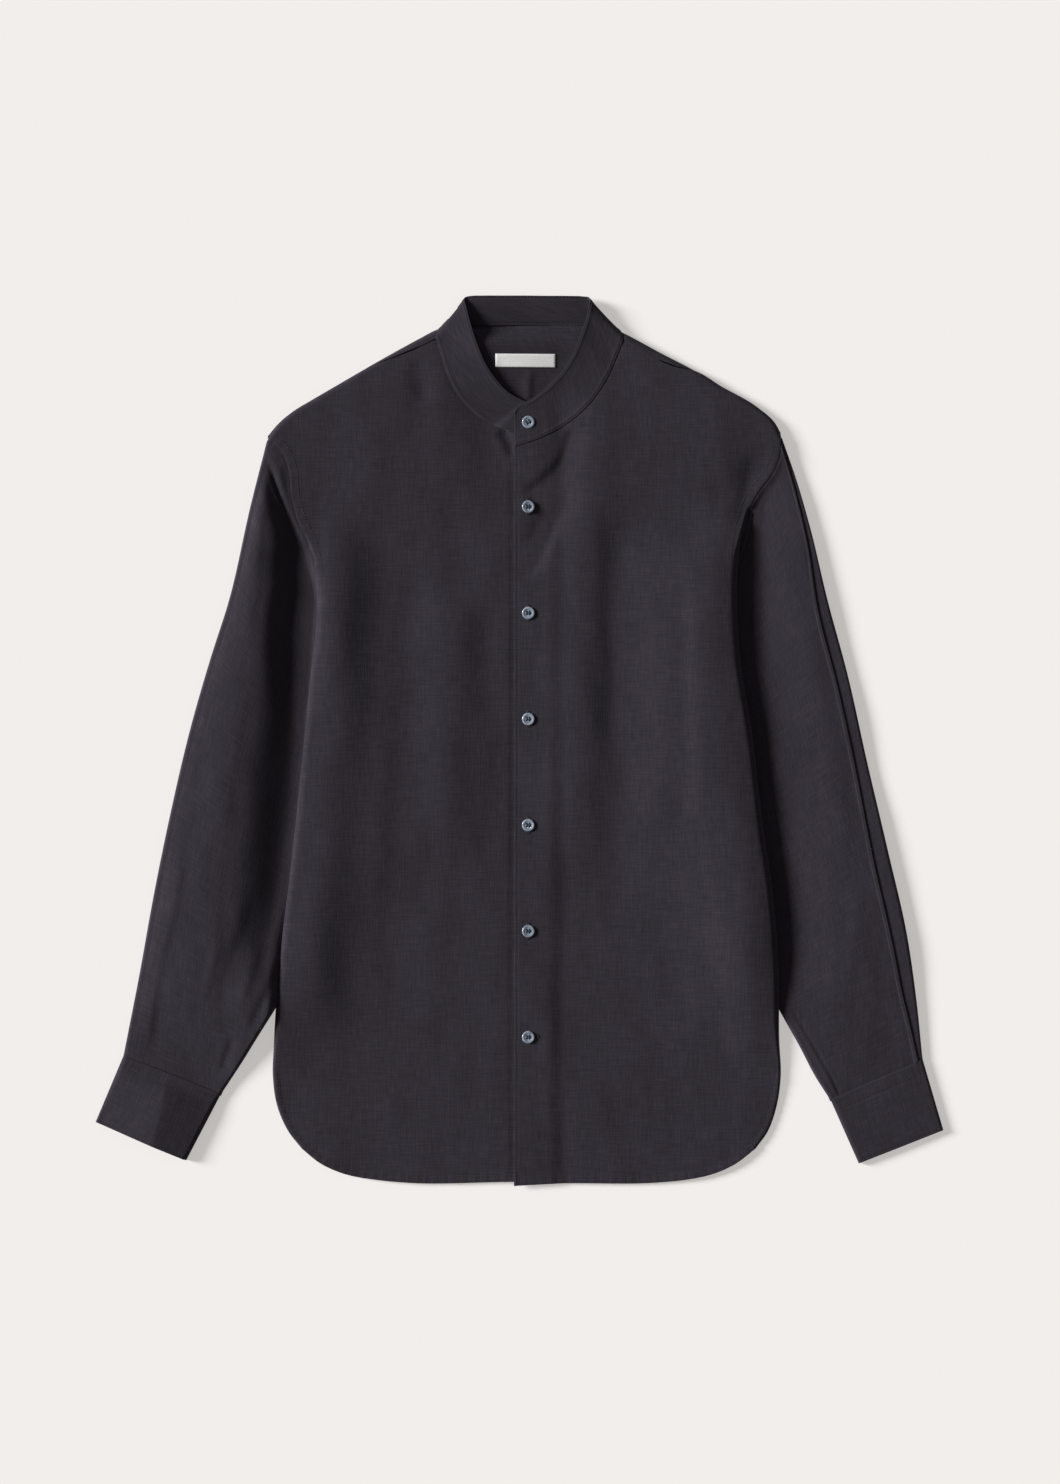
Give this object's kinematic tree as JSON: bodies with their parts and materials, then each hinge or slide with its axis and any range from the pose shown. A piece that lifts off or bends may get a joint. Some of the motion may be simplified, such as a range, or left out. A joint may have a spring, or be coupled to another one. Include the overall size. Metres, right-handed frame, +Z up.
{
  "type": "long-sleeve band-collar linen shirt laid flat",
  "caption": "Button-front long-sleeve linen shirt with a band collar, yoke, barrel cuffs and shirt-tail hem, buttoned and laid flat on its back.",
  "frame": {"origin": "centre of the bounding box on the surface the shirt lies on", "axes": "+Y from the hem to the collar, +X toward the wearer's left, +Z up from the surface through the cloth"},
  "size_m": [0.7624, 0.8, 0.0175],
  "materials": {
    "linen": "matte slubbed plain-weave linen",
    "band_linen": "matte slubbed plain-weave linen, two layers",
    "label": "smooth woven tape, bare",
    "buttons": "glossy blue-grey shell look"
  },
  "bodies": {
    "root": {"back": "linen", "yoke": "linen", "left_front": "linen", "right_front": "linen", "collar_band": "band_linen", "left_sleeve": "linen", "right_sleeve": "linen", "left_cuff": "linen", "right_cuff": "linen", "label": "label", "button_1": "buttons", "button_2": "buttons", "button_3": "buttons", "button_4": "buttons", "button_5": "buttons", "button_6": "buttons", "button_7": "buttons"}
  },
  "joints": []
}
